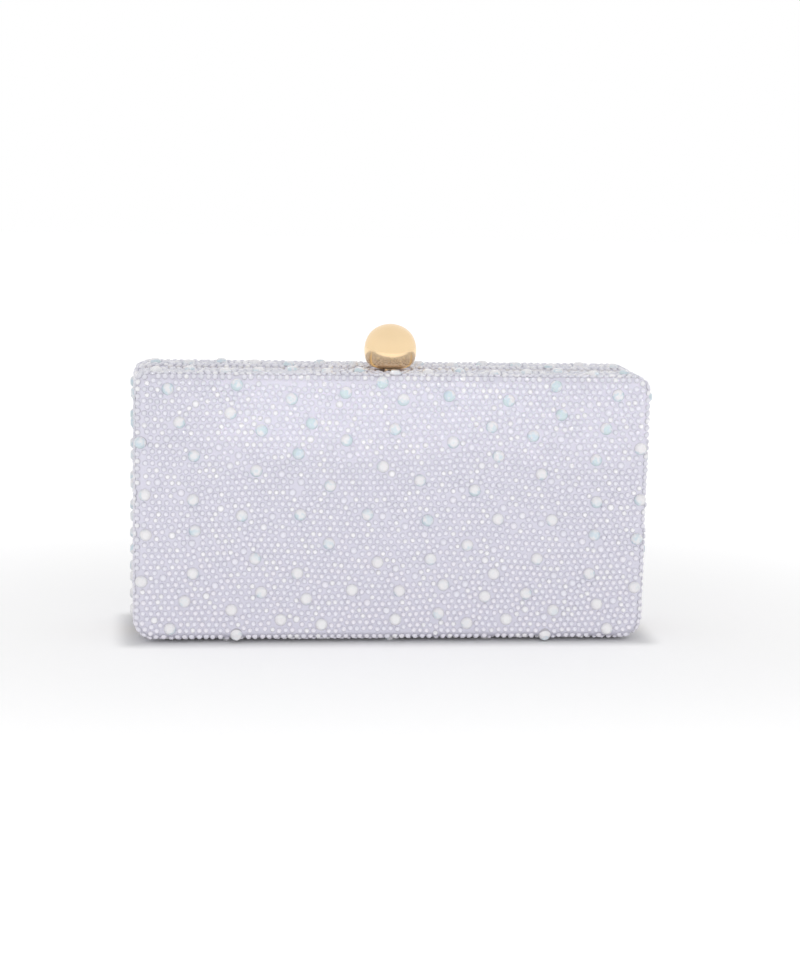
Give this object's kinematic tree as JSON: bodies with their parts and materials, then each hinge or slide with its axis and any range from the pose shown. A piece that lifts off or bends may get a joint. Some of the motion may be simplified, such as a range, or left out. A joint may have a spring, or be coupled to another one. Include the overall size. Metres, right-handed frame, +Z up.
{
  "type": "minaudiere",
  "caption": "Hard box clutch in pale lilac satin set all over with flat-back crystals, two trays hinged at the base and closed by a polished gold ball clasp on top.",
  "frame": {"origin": "on the resting plane, under the middle of the case at the parting plane", "axes": "+X along the width, to the right seen from the front; +Y from the front face to the back; +Z up"},
  "size_m": [0.1938, 0.0502, 0.1172],
  "materials": {
    "satin": "satin sheen",
    "shell_board": "matte moulded",
    "lining_fabric": "soft matte",
    "opal_stone": "opal, cut",
    "clear_crystal": "foil-backed, cut",
    "polished_gold": "polished gold plate",
    "gold_fittings": "satin gold plate",
    "spring_steel": "tempered strip"
  },
  "bodies": {
    "rear_half": {"rear_cover": "satin", "rear_shell": "shell_board", "rear_lining": "lining_fabric", "rear_frame_left": "gold_fittings", "rear_frame_right": "gold_fittings", "rear_hinge_leaf_left": "gold_fittings", "rear_hinge_leaf_right": "gold_fittings", "rear_hinge_rivets": "gold_fittings", "hinge_pin_left": "gold_fittings", "hinge_pin_right": "gold_fittings", "clasp_bracket": "gold_fittings", "bracket_rivets": "gold_fittings", "clasp_pivot_pin": "gold_fittings", "clasp_spring": "spring_steel", "spring_rivet": "gold_fittings", "rear_large_stones": "opal_stone", "rear_medium_stones": "clear_crystal", "rear_base_stones": "opal_stone"},
    "front_half": {"front_cover": "satin", "front_shell": "shell_board", "front_lining": "lining_fabric", "front_frame_left": "gold_fittings", "front_frame_right": "gold_fittings", "front_hinge_leaf_left": "gold_fittings", "front_hinge_leaf_right": "gold_fittings", "front_hinge_rivets": "gold_fittings", "keeper": "gold_fittings", "keeper_rivets": "gold_fittings", "front_large_stones": "opal_stone", "front_medium_stones": "clear_crystal", "front_base_stones": "opal_stone"},
    "clasp": {"ball_knob": "polished_gold", "ball_stem": "polished_gold", "clasp_lever": "gold_fittings"}
  },
  "joints": [
    {"name": "lid_hinge", "type": "hinge", "parent": "rear_half", "child": "front_half", "pos_m": [0, 0, 0.0035], "axis": [1, 0, 0], "range_deg": [0, 100]},
    {"name": "clasp_tilt", "type": "hinge", "parent": "rear_half", "child": "clasp", "pos_m": [0, 0, 0.0906], "axis": [1, 0, 0], "range_deg": [-4, 6], "stiffness_Nm_per_rad": 0.25, "springref_deg": -6.88, "deforming": ["clasp_spring"]}
  ]
}
